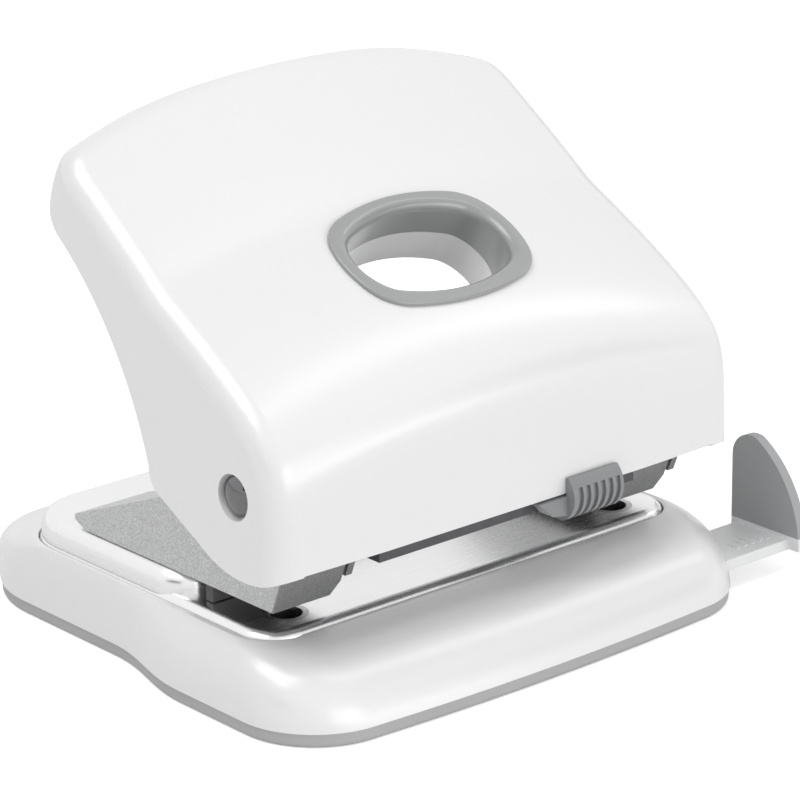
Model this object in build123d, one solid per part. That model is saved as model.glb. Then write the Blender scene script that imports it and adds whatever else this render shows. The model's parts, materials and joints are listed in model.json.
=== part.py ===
from build123d import *
import os
from math import acos, atan2, cos, pi, radians, sin, sqrt, tan

# Manual two-hole desk punch with its handle up. Millimetres, +Z up, +Y towards the free end
# of the handle, +X towards the paper guide. The origin is the middle of the base's underside.

# ---------- driving dimensions ----------
HOLE_SPACING = 80.0          # the two punched holes, centre to centre
STOP_DISTANCE = 12.0         # hole centre to the edge of the paper
PIN_DIAMETER = 5.5
THROAT_HEIGHT = 4.2          # paper gap over the die shelf

BASE_FRONT_Y = -57.0
BASE_BACK_Y = 57.0
PLATE_HALF = 50.7            # half width of the pressed plate
BASE_FRONT_HALF = PLATE_HALF + 6.3   # the flared front
BASE_REAR_HALF = PLATE_HALF + 1.8    # the rear, just outside the plate
BASE_FRONT_CORNER = 17.0
BASE_REAR_CORNER = 23.0
BASE_CROWN = 1.4             # bow of the front edge
FLARE_START_Y = -20.0
FLARE_END_Y = 6.0
SHELL_WALL = 2.2
SHELL_SHOULDER_Z = 9.0
SHELL_TOP_Z = 15.2
RIM_WALL = 1.1               # white rim left standing round the plate
BASE_SCREW_X = 26.0
BASE_SCREW_ROWS = (-20.0, 31.0)
POST_RADIUS = 3.2
SCREW_RADIUS = 1.3
SCREW_HEAD_RADIUS = 2.8
SCREW_HEAD_HEIGHT = 1.6

TRAY_FLOOR = 1.6
TRAY_BAND_Z = 2.7            # top of the grey band that shows round the foot
TRAY_RIM_Z = 3.9
TRAY_RIM_WALL = 1.6
TRAY_RIM_DRAFT = 0.8         # the shell's wall leans in over the rim
TRAY_EDGE = 1.0              # rounding under the tray's outer edge
PARTING_GAP = 0.15
SLIP = 0.3                   # gap round anything that lifts out or slides

PLATE_FRONT_Y = -38.2
PLATE_BACK_Y = 38.5
PLATE_CORNER = 8.0
PLATE_REAR_CORNER = 12.0
PLATE_SHEET = 1.5
PLATE_SKIRT_Z = 13.6         # lower edge of the plate's turned-down rim
PLATE_RIM_ROUND = 2.2
PLATEAU_Z = 20.5             # raised rear part that carries the brackets
PLATEAU_FRONT_Y = -13.0
PLATEAU_SIDE_ROUND = 3.2
PLATEAU_STEP_IN = 0.4        # the raised part stands in from the rim

BRACKET_WIDTH = 17.0
BRACKET_SHEET = 1.5
BRACKET_FRONT_Y = -37.0
BRACKET_BACK_Y = 21.5
BRACKET_BACK_HEIGHT = 2.4
BRACKET_KNEE_Y = -6.0        # where the rising top edge steepens towards the pivot
BRACKET_KNEE_HEIGHT = 13.4
WEB_FRONT_Y = -22.0
FLANGE_LEAN = 27.0           # degrees, the front flange leans outwards
FLANGE_HEIGHT = 12.0
FLANGE_SLOT = 0.8            # slot between the flange and the inner cheek
FLANGE_CHAMFER = 1.7
FOOT_LENGTH = 24.0
BOSS_RADIUS = 6.3            # rounded top of each cheek round the pivot

PIN_Y = -30.0
PIN_LIFT = 0.6               # the pin's tip above the bracket's lower edge at rest
PIN_HEAD_DIAMETER = 10.0
PIN_HEAD_HEIGHT = 2.4
GUIDE_TOP_Z = 29.0
RIVET_RADIUS = 1.9
RIVET_HEAD_RADIUS = 3.2
RUNNING = 0.05               # radial clearance of a sliding or turning fit
DIE_OUTER = 8.4
DIE_HEIGHT = 4.0
DIE_LIP = 0.35

SPRING_WIRE = 0.9
SPRING_MEAN_RADIUS = 3.9
SPRING_TURNS = 6

PIVOT_Y = -35.2
PIVOT_Z = 43.5
STUD_DIAMETER = 5.0
STUD_HEAD_DIAMETER = 7.7
STUD_HEAD_DOME = 1.5
STUD_HEAD_EDGE = 0.3
CLIP_DIAMETER = 9.0
CLIP_SHEET = 0.8
CLIP_BITE = 0.5              # depth of the clip's groove in the stud
STUD_RECESS = 1.4            # the stud's head lies in a recess of the handle's side

HANDLE_HALF_TOP = 53.0       # half width at the free end
HANDLE_HALF_FOOT = HANDLE_HALF_TOP + 2.8   # half width at the front lip
HANDLE_FRONT_Y = -47.6
HANDLE_LIP_Z = 31.0
LIP_HALF = HANDLE_HALF_FOOT - 6.0   # straight run of the lip's lower edge
HANDLE_WALL = 2.4
HANDLE_CROWN = 6.0           # middle of the top above its two side edges
CROWN_HALF = 51.6            # the crown has fallen away this far from the middle
CROWN_REACH = 58.0           # outermost section of the crowned form, beyond its sides
HANDLE_FRONT_BOW = 0.9
HANDLE_EDGE_ROUND = 5.0
HANDLE_CORNER_ROUND = 12.0   # free end's corners, seen square to the top
HANDLE_END_Y = 22.0          # free end at the side edges
HANDLE_END_BOW = 2.6
HANDLE_END_ROUND = 6.0
EDGE_LINE = [(-44.9, 50.8), (-35.6, 59.3), (-12.7, 72.7)]   # side edge of the top, front to back
EDGE_LAST = (10.3, 88.5)
EDGE_LIFT = 1.6              # sharp corner above the middle of its rounding

GRIP_Y = -22.9               # middle of the hole through the top
GRIP_Z = 72.4
GRIP_SLOPE = 34.0
GRIP_LENGTH = 40.0
GRIP_DEPTH = 27.6
GRIP_LONG_BOW = 3.4          # bow of the hole's long sides
GRIP_END_BOW = 2.8
GRIP_CORNER = 9.0
GRIP_RIM = 3.4
GRIP_RIM_PROUD = 0.8
GRIP_ROLL = 1.9              # rounding from the ring's face into the hole
GRIP_COLLAR = 12.0

NOSE_ARM = 7.5               # pusher nose behind the pivot
NOSE_RISE = 4.2              # pusher nose above the pivot
NOSE_RADIUS = 2.5
NOSE_HALF = 5.0
FRAME_SHEET = 1.6
FRAME_Z = 53.8               # upper face of the sheet bridge
FRAME_FRONT_Y = -40.0
FRAME_SCREW = 1.3
FRAME_SCREW_Y = -34.5
FRAME_SCREW_IN_X = 12.0
FRAME_SCREW_OUT_X = 27.0
FRAME_SCREW_DEPTH = 3.0

GUIDE_BAR_FRONT_Y = -48.0
GUIDE_BAR_WIDTH = 13.5
GUIDE_BAR_TOP_Z = 6.5
GUIDE_BAR_SHEET = 2.2
GUIDE_BAR_END_X = -40.0
GUIDE_IN_TRAVEL = 9.0        # the guide slides this far in from where it stands
GUIDE_SIDE_GAP = 0.25
GUIDE_FACE_GAP = 0.2
CHANNEL_WALL = 1.05
CHANNEL_ROOF_Z = GUIDE_BAR_TOP_Z + SLIP + 1.6
FENCE_X = BASE_FRONT_HALF + 13.2
FENCE_SHEET = 2.6
FENCE_FRONT_Y = -51.0
FENCE_BACK_Y = -32.8
FENCE_TOP_Z = 24.9
DETENT_SHEET = 0.5

LATCH_LEFT_X = 11.0
LATCH_RIGHT_X = 23.4
LATCH_TAIL_X = 4.0
LATCH_TOP_Z = 34.2
LATCH_BOTTOM_Z = 25.6
LATCH_PROUD = 2.2
LATCH_RIBS = 6
LATCH_GROOVE = 0.7
LATCH_WEB_TOP_Z = 27.6

RAIL_HALF = 31.0             # cross rail the latch runs on
RAIL_FRONT_Y = -45.5
RAIL_BACK_Y = -42.2
RAIL_LOW_Z = 27.9
RAIL_TOP_Z = 29.6
RAIL_TAB = 1.2
RAIL_TAB_X = 27.0
RAIL_PEG = 1.5
RAIL_PEG_Z = 36.0

HINGE_RADIUS = 1.7
HINGE_PIN_DIAMETER = 1.4
HINGE_SPAN = 44.0

# ---------- shared helpers ----------
parts = {}


def side_prism(face, x_from, x_to):
    """Extrude a face drawn as (y, z) between two x positions."""
    return extrude(Plane.YZ.offset(x_from) * face, x_to - x_from)


def polygon(points):
    return make_face(Polyline(*points, close=True))


def block(x0, x1, y0, y1, z0, z1):
    return Pos((x0 + x1) / 2, (y0 + y1) / 2, (z0 + z1) / 2) * Box(x1 - x0, y1 - y0, z1 - z0)


def upright(radius, z0, z1, x, y):
    return Pos(x, y, (z0 + z1) / 2) * Cylinder(radius, z1 - z0)


def crosswise(radius, x0, x1, y, z):
    return Pos((x0 + x1) / 2, y, z) * Rot(0, 90, 0) * Cylinder(radius, x1 - x0)


def both_sides(shape):
    return shape, mirror(shape, Plane.YZ)


# ---------- base shell, tray and guide ----------
def base_outline(z, front_half, rear_half, front_y, back_y, front_corner, rear_corner, inset=0.0):
    """Plan outline of the base at height z: crowned front, flared flanks, rounded corners."""
    wf, wr = front_half - inset, rear_half - inset
    yf, yb = front_y + inset, back_y - inset
    rf, rr = max(front_corner - inset, 2.0), max(rear_corner - inset, 2.0)
    y_side = yf + BASE_CROWN + rf
    s = sin(radians(45))
    front = ThreePointArc((-(wf - rf), yf + BASE_CROWN), (0, yf), (wf - rf, yf + BASE_CROWN))
    half = [
        ThreePointArc((wf - rf, yf + BASE_CROWN), (wf - rf + rf * s, y_side - rf * s), (wf, y_side)),
        Line((wf, y_side), (wf, FLARE_START_Y)),
        Spline((wf, FLARE_START_Y), (wr, FLARE_END_Y), tangents=[(0, 1), (0, 1)]),
        Line((wr, FLARE_END_Y), (wr, yb - rr)),
        ThreePointArc((wr, yb - rr), (wr - rr + rr * s, yb - rr + rr * s), (wr - rr, yb)),
    ]
    back = Line((wr - rr, yb), (-(wr - rr), yb))
    edges = [front] + half + [back] + [mirror(edge, Plane.YZ) for edge in half]
    return Pos(0, 0, z) * make_face(edges)


def foot_outline(z, inset=0.0):
    return base_outline(z, BASE_FRONT_HALF, BASE_REAR_HALF, BASE_FRONT_Y, BASE_BACK_Y,
                        BASE_FRONT_CORNER, BASE_REAR_CORNER, inset)


def shoulder_outline(z, inset=0.0):
    return base_outline(z, BASE_FRONT_HALF - 0.7, BASE_REAR_HALF - 0.1, BASE_FRONT_Y + 3.2,
                        BASE_BACK_Y - 1.5, BASE_FRONT_CORNER - 2.0, BASE_REAR_CORNER - 3.0, inset)


def rim_outline(z, inset=0.0):
    half = PLATE_HALF + RIM_WALL
    front_y, back_y = PLATE_FRONT_Y - RIM_WALL - BASE_CROWN / 2, PLATE_BACK_Y + RIM_WALL
    return base_outline(z, half + 0.1, half, front_y, back_y, PLATE_CORNER + RIM_WALL,
                        PLATE_REAR_CORNER + RIM_WALL, inset)


def rounded_plan(half, front_y, back_y, inset):
    """Rectangle with the plate's front and rear corner radii, moved in by an inset."""
    w, y0, y1 = half - inset, front_y + inset, back_y - inset
    plan = polygon([(-w, y0), (w, y0), (w, y1), (-w, y1)])
    plan = fillet(plan.vertices().sort_by(Axis.Y)[:2], PLATE_CORNER - inset)
    return fillet(plan.vertices().sort_by(Axis.Y)[-2:], PLATE_REAR_CORNER - inset)


def plate_plan(inset=0.0):
    return rounded_plan(PLATE_HALF, PLATE_FRONT_Y, PLATE_BACK_Y, inset)


SHELF_Z = PLATEAU_Z - THROAT_HEIGHT
SHELL_FOOT_Z = TRAY_BAND_Z + PARTING_GAP
DECK_Z = PLATE_SKIRT_Z - 1.6
GUIDE_BAR_BACK_Y = GUIDE_BAR_FRONT_Y + GUIDE_BAR_WIDTH
GUIDE_BAR_BOTTOM_Z = GUIDE_BAR_TOP_Z - GUIDE_BAR_SHEET
CHANNEL_END_X = GUIDE_BAR_END_X - GUIDE_IN_TRAVEL - SLIP
POST_FOOT_Z = SHELL_FOOT_Z + 2.2
DECK_SLOT_HALF = 9.5         # slot in the deck for the die and the rivets of one unit
HINGE_Y = BASE_BACK_Y + 0.2
HINGE_Z = SHELL_FOOT_Z
PINS_X = (-HOLE_SPACING / 2, HOLE_SPACING / 2)


def hinge_bore():
    reach = HINGE_SPAN / 2 + 1
    return crosswise(HINGE_PIN_DIAMETER / 2 + RUNNING, -reach, reach, HINGE_Y, HINGE_Z)


def hinge_segments():
    """Five equal barrels along the rear edge: shell, tray, shell, tray, shell."""
    step = HINGE_SPAN / 5
    starts = [-HINGE_SPAN / 2 + n * step for n in range(5)]
    return [(x + SLIP / 2, x + step - SLIP / 2) for x in starts]


def guide_slot(side_gap, face_gap, x_from, x_to):
    """Space of the guide bar between two x positions, widened by its gaps."""
    return block(x_from, x_to, GUIDE_BAR_FRONT_Y - side_gap, GUIDE_BAR_BACK_Y + side_gap,
                 GUIDE_BAR_BOTTOM_Z - face_gap, GUIDE_BAR_TOP_Z + face_gap)


def guide_channel():
    """Closed box in the shell for the guide bar, tied to the deck by three ribs."""
    inner = BASE_FRONT_HALF - SHELL_WALL
    front, back = GUIDE_BAR_FRONT_Y - GUIDE_SIDE_GAP, GUIDE_BAR_BACK_Y + GUIDE_SIDE_GAP
    channel = block(CHANNEL_END_X - CHANNEL_WALL, inner, front - CHANNEL_WALL, back + CHANNEL_WALL,
                    GUIDE_BAR_BOTTOM_Z - SLIP - CHANNEL_WALL, CHANNEL_ROOF_Z)
    for x in (GUIDE_BAR_END_X, 0, inner - 8):
        channel += block(x - 1, x + 3, front, back - 3, CHANNEL_ROOF_Z, DECK_Z + 0.5)
    return channel


def make_base_shell():
    outer = loft([foot_outline(SHELL_FOOT_Z), shoulder_outline(SHELL_SHOULDER_Z), rim_outline(SHELL_TOP_Z)])
    cavity = loft([foot_outline(SHELL_FOOT_Z - 0.01, SHELL_WALL),
                   shoulder_outline(SHELL_SHOULDER_Z - 1.5, SHELL_WALL), rim_outline(DECK_Z, SHELL_WALL)])
    shell = outer - cavity
    shell -= Pos(0, 0, PLATE_SKIRT_Z) * extrude(plate_plan(-SLIP / 2), SHELL_TOP_Z)
    for x in PINS_X:
        shell -= block(x - DECK_SLOT_HALF, x + DECK_SLOT_HALF, PIN_Y - DIE_OUTER / 2 - 1,
                       rivet_rows()[-1] + RIVET_HEAD_RADIUS + 2, DECK_Z - 1, PLATE_SKIRT_Z + 1)
    envelope = loft([foot_outline(SHELL_FOOT_Z, 0.5), shoulder_outline(SHELL_SHOULDER_Z, 0.5),
                     rim_outline(SHELL_TOP_Z, 0.5)])
    shell += guide_channel() & envelope
    shell -= guide_slot(GUIDE_SIDE_GAP, GUIDE_FACE_GAP, CHANNEL_END_X, BASE_FRONT_HALF + 5)
    shell -= detent_pocket()
    for x, y in screw_places():
        shell += upright(POST_RADIUS, POST_FOOT_Z, PLATE_SKIRT_Z, x, y)
        shell -= upright(SCREW_RADIUS + SLIP, 0, PLATE_SKIRT_Z + 1, x, y)
    segments = hinge_segments()
    for x0, x1 in segments[::2]:
        shell += block(x0, x1, BASE_BACK_Y - 2.0, HINGE_Y, HINGE_Z, HINGE_Z + HINGE_RADIUS)
        shell += crosswise(HINGE_RADIUS, x0, x1, HINGE_Y, HINGE_Z)
    for x0, x1 in segments[1::2]:
        shell -= crosswise(HINGE_RADIUS + SLIP, x0 - SLIP, x1 + SLIP, HINGE_Y, HINGE_Z)
    return shell - hinge_bore()


def screw_places():
    return [(x, y) for x in (-BASE_SCREW_X, BASE_SCREW_X) for y in BASE_SCREW_ROWS]


def detent_place():
    return 22.0, 34.0, GUIDE_BAR_FRONT_Y + 4.0, GUIDE_BAR_FRONT_Y + 9.5


def detent_pocket():
    x0, x1, y0, y1 = detent_place()
    return block(x0 - SLIP, x1 + SLIP, y0 - SLIP, y1 + SLIP, GUIDE_BAR_TOP_Z - 0.5, GUIDE_BAR_TOP_Z + 6.0)


def make_guide_detent():
    """Leaf spring: a foot on the channel roof and a tongue that dips onto the bar."""
    x0, x1, y0, y1 = detent_place()
    low = GUIDE_BAR_TOP_Z + 0.1
    line = Polyline((x1 + 5.0, CHANNEL_ROOF_Z), (x1 - 1.5, CHANNEL_ROOF_Z), (x1 - 4.5, low + 0.6),
                    (x0 + 4.0, low), (x0 + 1.0, low + 1.4))
    profile = Pos(0, DETENT_SHEET / 2) * trace(line, DETENT_SHEET)
    return Pos(0, y1, 0) * extrude(Plane.XZ * profile, y1 - y0)


def make_paper_guide():
    """Flat bar that slides in the base, with the upright fin the paper's edge rests on."""
    bar = block(GUIDE_BAR_END_X, FENCE_X + FENCE_SHEET, GUIDE_BAR_FRONT_Y, GUIDE_BAR_BACK_Y,
                GUIDE_BAR_BOTTOM_Z, GUIDE_BAR_TOP_Z)
    front, back, top = FENCE_FRONT_Y, FENCE_BACK_Y, FENCE_TOP_Z
    low = GUIDE_BAR_BOTTOM_Z
    fin = make_face([
        Line((back, low), (back, top - 4.8)),
        ThreePointArc((back, top - 4.8), (back - 2.0, top - 0.7), (back - 6.4, top)),
        ThreePointArc((back - 6.4, top), (front + 3.3, top - 8.3), (front, low + 0.3)),
        Line((front, low + 0.3), (back, low)),
    ])
    fence = side_prism(fin, FENCE_X, FENCE_X + FENCE_SHEET)
    fence = fillet(fence.edges().filter_by(GeomType.CIRCLE).group_by(Axis.X)[-1], 0.8)
    tick_y = GUIDE_BAR_FRONT_Y + 3.0
    guide = bar + fence
    for n in range(5):
        guide += block(59.6 + 2.0 * n, 60.2 + 2.0 * n, tick_y, tick_y + (4.5 if n == 2 else 2.6),
                       GUIDE_BAR_TOP_Z - 0.1, GUIDE_BAR_TOP_Z + 0.15)
    return guide


def make_chip_tray():
    """Grey underside: a shallow tray hinged along its rear edge."""
    band = extrude(foot_outline(0, 0.3), TRAY_BAND_Z)
    band = fillet(band.edges().group_by(Axis.Z)[0], TRAY_EDGE)
    wall_inset = SHELL_WALL + SLIP + TRAY_RIM_DRAFT
    rim = extrude(foot_outline(TRAY_FLOOR, wall_inset), TRAY_RIM_Z - TRAY_FLOOR)
    well = extrude(foot_outline(TRAY_FLOOR, wall_inset + TRAY_RIM_WALL), TRAY_RIM_Z)
    tray = band + rim - well
    for notch in both_sides(block(BASE_FRONT_HALF - 13, BASE_FRONT_HALF, GUIDE_BAR_FRONT_Y - 2,
                                  GUIDE_BAR_BACK_Y + 2, TRAY_BAND_Z, TRAY_RIM_Z + 1)):
        tray -= notch
    for x0, x1 in hinge_segments()[1::2]:
        tray += block(x0, x1, BASE_BACK_Y - 3.0, HINGE_Y, TRAY_BAND_Z - HINGE_RADIUS, TRAY_BAND_Z)
        tray += crosswise(HINGE_RADIUS, x0, x1, HINGE_Y, HINGE_Z)
    for x0, x1 in hinge_segments()[::2]:
        tray -= crosswise(HINGE_RADIUS + SLIP, x0 - SLIP, x1 + SLIP, HINGE_Y, HINGE_Z)
    return tray - hinge_bore()


def make_hinge_pin():
    return crosswise(HINGE_PIN_DIAMETER / 2, -HINGE_SPAN / 2 + 0.4, HINGE_SPAN / 2 - 0.4, HINGE_Y, HINGE_Z)


# ---------- pressed base plate ----------
def plateau_plan(inset=0.0):
    step = PLATEAU_STEP_IN
    return rounded_plan(PLATE_HALF - step, PLATEAU_FRONT_Y, PLATE_BACK_Y - step, inset)


def plate_solid(drop):
    """The plate's outer form, moved in and down by one sheet thickness for its underside."""
    shelf = Pos(0, 0, PLATE_SKIRT_Z - drop) * extrude(plate_plan(drop), SHELF_Z - PLATE_SKIRT_Z)
    shelf = fillet(shelf.edges().group_by(Axis.Z)[-1], max(PLATE_RIM_ROUND - drop, 0.2))
    rise = PLATEAU_Z - PLATE_SKIRT_Z
    plateau = Pos(0, 0, PLATE_SKIRT_Z - drop) * extrude(plateau_plan(drop), rise)
    plateau = fillet(plateau.edges().group_by(Axis.Z)[-1], PLATEAU_SIDE_ROUND - drop)
    return shelf + plateau


def make_base_plate():
    plate = plate_solid(0) - plate_solid(PLATE_SHEET)
    for x in PINS_X:
        plate -= upright(DIE_OUTER / 2, SHELF_Z - 5, SHELF_Z + 1, x, PIN_Y)
        for y in rivet_rows():
            plate -= upright(RIVET_RADIUS, PLATEAU_Z - 5, PLATEAU_Z + 1, x, y)
    for x, y in screw_places():
        top = PLATEAU_Z if y > PLATEAU_FRONT_Y else SHELF_Z
        boss = upright(POST_RADIUS - 0.2, PLATE_SKIRT_Z, top - PLATE_SHEET / 2, x, y)
        plate += boss - upright(SCREW_RADIUS, 0, top - PLATE_SHEET, x, y)
    return plate


def rivet_rows():
    return (PLATEAU_FRONT_Y + 7.5, PLATEAU_FRONT_Y + 21.0)


def make_bracket_rivets():
    rivets = []
    head = RIVET_HEAD_RADIUS
    top = PLATEAU_Z + BRACKET_SHEET
    for x in PINS_X:
        for y in rivet_rows():
            shank = upright(RIVET_RADIUS, PLATEAU_Z - PLATE_SHEET, top, x, y)
            cap = Pos(x, y, top) * Cone(head, head - 1.0, 1.1, align=(Align.CENTER, Align.CENTER, Align.MIN))
            foot = upright(head, PLATEAU_Z - PLATE_SHEET - 0.8, PLATEAU_Z - PLATE_SHEET, x, y)
            rivets.append(shank + cap + foot)
    return rivets


def screw_head(z, x, y):
    """Pan head that hangs under height z, with a round socket."""
    head = upright(SCREW_HEAD_RADIUS, z - SCREW_HEAD_HEIGHT, z, x, y)
    return head - upright(1.1, z - SCREW_HEAD_HEIGHT - 0.1, z - SCREW_HEAD_HEIGHT / 2, x, y)


def make_base_screws():
    screws = []
    for x, y in screw_places():
        top = (PLATEAU_Z if y > PLATEAU_FRONT_Y else SHELF_Z) - PLATE_SHEET - 0.4
        shank = upright(SCREW_RADIUS, POST_FOOT_Z, top, x, y)
        screws.append(shank + screw_head(POST_FOOT_Z, x, y))
    return screws


def make_die(x):
    die = upright(DIE_OUTER / 2, SHELF_Z - DIE_HEIGHT, SHELF_Z, x, PIN_Y)
    rim = Pos(x, PIN_Y, SHELF_Z) * Cone(PIN_DIAMETER / 2, PIN_DIAMETER / 2 + 2 * DIE_LIP, 2 * DIE_LIP)
    bore = upright(PIN_DIAMETER / 2 + 2 * RUNNING, SHELF_Z - DIE_HEIGHT - 1, SHELF_Z + 1, x, PIN_Y)
    return die - bore - rim


# ---------- punching units ----------
FLANGE_KNEE_Z = PLATEAU_Z + FLANGE_HEIGHT
FLANGE_KNEE_Y = BRACKET_FRONT_Y - FLANGE_HEIGHT * tan(radians(FLANGE_LEAN)) * 0.8
CHEEK_IN = BRACKET_WIDTH / 2 - BRACKET_SHEET


def boss_tangent():
    """Point where the line from the knee touches the boss circle round the pivot."""
    dy, dz = BRACKET_KNEE_Y - PIVOT_Y, PLATEAU_Z + BRACKET_KNEE_HEIGHT - PIVOT_Z
    turn = atan2(dz, dy) + acos(BOSS_RADIUS / sqrt(dy * dy + dz * dz))
    return PIVOT_Y + BOSS_RADIUS * cos(turn), PIVOT_Z + BOSS_RADIUS * sin(turn)


def cheek_profile():
    """Side of the folded bracket: low at the back, rising to a rounded boss at the pivot."""
    back_z = PLATEAU_Z + BRACKET_BACK_HEIGHT
    knee = (BRACKET_KNEE_Y, PLATEAU_Z + BRACKET_KNEE_HEIGHT)
    crest = (PIVOT_Y + BOSS_RADIUS * cos(radians(125)), PIVOT_Z + BOSS_RADIUS * sin(radians(125)))
    nose = (PIVOT_Y - BOSS_RADIUS, PIVOT_Z)
    outline = [(BRACKET_FRONT_Y, PLATEAU_Z), (BRACKET_BACK_Y - 3.0, PLATEAU_Z),
               (BRACKET_BACK_Y, PLATEAU_Z + 1.4), (BRACKET_BACK_Y, back_z), knee, boss_tangent()]
    return make_face([
        Polyline(*outline),
        ThreePointArc(boss_tangent(), crest, nose),
        Polyline(nose, (FLANGE_KNEE_Y, FLANGE_KNEE_Z), (BRACKET_FRONT_Y, PLATEAU_Z)),
    ])


def make_bracket(x):
    """One sheet: two cheeks joined by a sloping web, with a front flange off the left cheek."""
    half = BRACKET_WIDTH / 2
    body = side_prism(cheek_profile(), -half, half)
    sheet = BRACKET_SHEET
    back_z = PLATEAU_Z + BRACKET_BACK_HEIGHT
    knee_z = PLATEAU_Z + BRACKET_KNEE_HEIGHT
    slope = (knee_z - back_z) / (BRACKET_KNEE_Y - BRACKET_BACK_Y)
    under_back = back_z - sheet * sqrt(1 + slope ** 2) + 6.0 * slope
    inside = polygon([(BRACKET_FRONT_Y - 30, PLATEAU_Z - 1), (BRACKET_FRONT_Y - 30, 70), (WEB_FRONT_Y, 70),
                      (WEB_FRONT_Y, boss_line(WEB_FRONT_Y) - sheet * 1.2),
                      (BRACKET_KNEE_Y, knee_z - sheet * 1.15),
                      (BRACKET_BACK_Y + 6.0, under_back), (BRACKET_BACK_Y + 6.0, PLATEAU_Z - 1)])
    body -= side_prism(inside, -CHEEK_IN, CHEEK_IN)
    foot_front = rivet_rows()[0] - 5.5
    foot_back = foot_front + FOOT_LENGTH
    body += block(-CHEEK_IN - 0.1, CHEEK_IN, foot_front, foot_back, PLATEAU_Z, PLATEAU_Z + sheet)
    lean = tan(radians(FLANGE_LEAN)) * 0.8
    thick = sheet * sqrt(1 + lean ** 2)
    flange = polygon([(BRACKET_FRONT_Y, PLATEAU_Z), (BRACKET_FRONT_Y + thick, PLATEAU_Z),
                      (FLANGE_KNEE_Y + thick, FLANGE_KNEE_Z), (FLANGE_KNEE_Y, FLANGE_KNEE_Z)])
    right = CHEEK_IN - FLANGE_SLOT
    front = side_prism(flange, -half, right)
    cut = make_face(Polyline((right - FLANGE_CHAMFER, PLATEAU_Z), (right, PLATEAU_Z + FLANGE_CHAMFER * 1.6),
                             (right + 1, PLATEAU_Z + 5), (right + 1, PLATEAU_Z - 1),
                             (right - FLANGE_CHAMFER, PLATEAU_Z - 1), close=True))
    front -= Pos(0, BRACKET_FRONT_Y + 5, 0) * extrude(Plane.XZ * cut, 20)
    body += front
    set_back = polygon([(BRACKET_FRONT_Y - 1, PLATEAU_Z - 1), (BRACKET_FRONT_Y + 4.0, PLATEAU_Z - 1),
                        (BRACKET_FRONT_Y + 4.0, PLATEAU_Z), (BRACKET_FRONT_Y + 0.4, PLATEAU_Z + 3.4),
                        (BRACKET_FRONT_Y - 2.2, PLATEAU_Z + 3.4)])
    body -= side_prism(set_back, CHEEK_IN - 0.2, half + 1)
    bores = both_sides(crosswise(STUD_DIAMETER / 2 + RUNNING, 0, half + 1, PIVOT_Y, PIVOT_Z))
    body -= bores[0] if x > 0 else bores[1]
    for y in rivet_rows():
        body -= upright(RIVET_RADIUS, PLATEAU_Z - 1, PLATEAU_Z + 4, 0, y)
    return Pos(x, 0, 0) * body


def boss_line(y):
    """Height of the top edge between the knee and the boss."""
    (ty, tz), ky, kz = boss_tangent(), BRACKET_KNEE_Y, PLATEAU_Z + BRACKET_KNEE_HEIGHT
    return kz + (y - ky) * (tz - kz) / (ty - ky)


PIN_TIP_Z = PLATEAU_Z + PIN_LIFT
NOSE_Y = PIVOT_Y + NOSE_ARM
NOSE_Z = PIVOT_Z + NOSE_RISE
PIN_TOP_Z = NOSE_Z - NOSE_RADIUS - 0.05
STOP_Y = PIN_Y + STOP_DISTANCE


def make_pin_guide(x):
    """Block between the cheeks that guides the pin; its heel is the paper stop."""
    low = PLATEAU_Z + 0.2
    guide = block(-CHEEK_IN, CHEEK_IN, BRACKET_FRONT_Y + BRACKET_SHEET + 0.4, STOP_Y + 2.0, low, GUIDE_TOP_Z)
    guide += block(-CHEEK_IN, CHEEK_IN, STOP_Y, STOP_Y + 2.0, SHELF_Z + 0.2, low + 1)
    guide -= block(-CHEEK_IN - 1, CHEEK_IN + 1, STOP_Y - 4.0, STOP_Y + 3.0, PLATEAU_Z + 4.5, GUIDE_TOP_Z + 1)
    guide = Pos(x, 0, 0) * guide
    return guide - upright(PIN_DIAMETER / 2 + RUNNING, 0, 60, x, PIN_Y)


def make_punch_pin(x):
    """Hardened pin with a hollowed cutting end and a wide flat head."""
    head_z = PIN_TOP_Z - PIN_HEAD_HEIGHT
    pin = upright(PIN_DIAMETER / 2, PIN_TIP_Z, head_z + 0.5, x, PIN_Y)
    head = upright(PIN_HEAD_DIAMETER / 2, head_z, PIN_TOP_Z, x, PIN_Y)
    head = chamfer(head.edges().filter_by(GeomType.CIRCLE), 0.4)
    hollow = crosswise(4.2, x - 5, x + 5, PIN_Y, PIN_TIP_Z - 3.3)
    return pin + head - hollow


def coil_path(radius, z_from, z_to, turns, x, y):
    """Helix as tangent arcs, two to each half turn."""
    steps = turns * 2
    pitch = (z_to - z_from) / turns
    rise = pitch / (2 * pi)
    points, directions = [], []
    for n in range(steps + 1):
        a = pi * n
        points.append(Vector(x + radius * cos(a), y + radius * sin(a), z_from + rise * a))
        directions.append(Vector(-radius * sin(a), radius * cos(a), rise).normalized())
    arcs = []
    for p, q, s, t in zip(points, points[1:], directions, directions[1:]):
        chord = q - p
        a, b, c = 2 * (s.dot(t) - 1), -2 * chord.dot(s + t), chord.dot(chord)
        d = (-b - sqrt(b * b - 4 * a * c)) / (2 * a)
        joint = ((p + s * d) + (q - t * d)) * 0.5
        arcs.append(TangentArc(p, joint, tangent=s))
        arcs.append(TangentArc(q, joint, tangent=t * -1))
    return Wire(arcs)


def spring_path(x):
    ends = SPRING_WIRE / 2 + RUNNING
    return coil_path(SPRING_MEAN_RADIUS, GUIDE_TOP_Z + ends, PIN_TOP_Z - PIN_HEAD_HEIGHT - ends,
                     SPRING_TURNS, x, PIN_Y)


def spring_self_gap():
    """Least gap between two coils of a spring, on points along its path."""
    path = spring_path(0)
    count = 40 * SPRING_TURNS
    points = [path @ (n / count) for n in range(count + 1)]
    skip = 20
    nearest = min((p - q).length for n, p in enumerate(points) for q in points[n + skip:])
    return nearest - SPRING_WIRE


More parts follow.
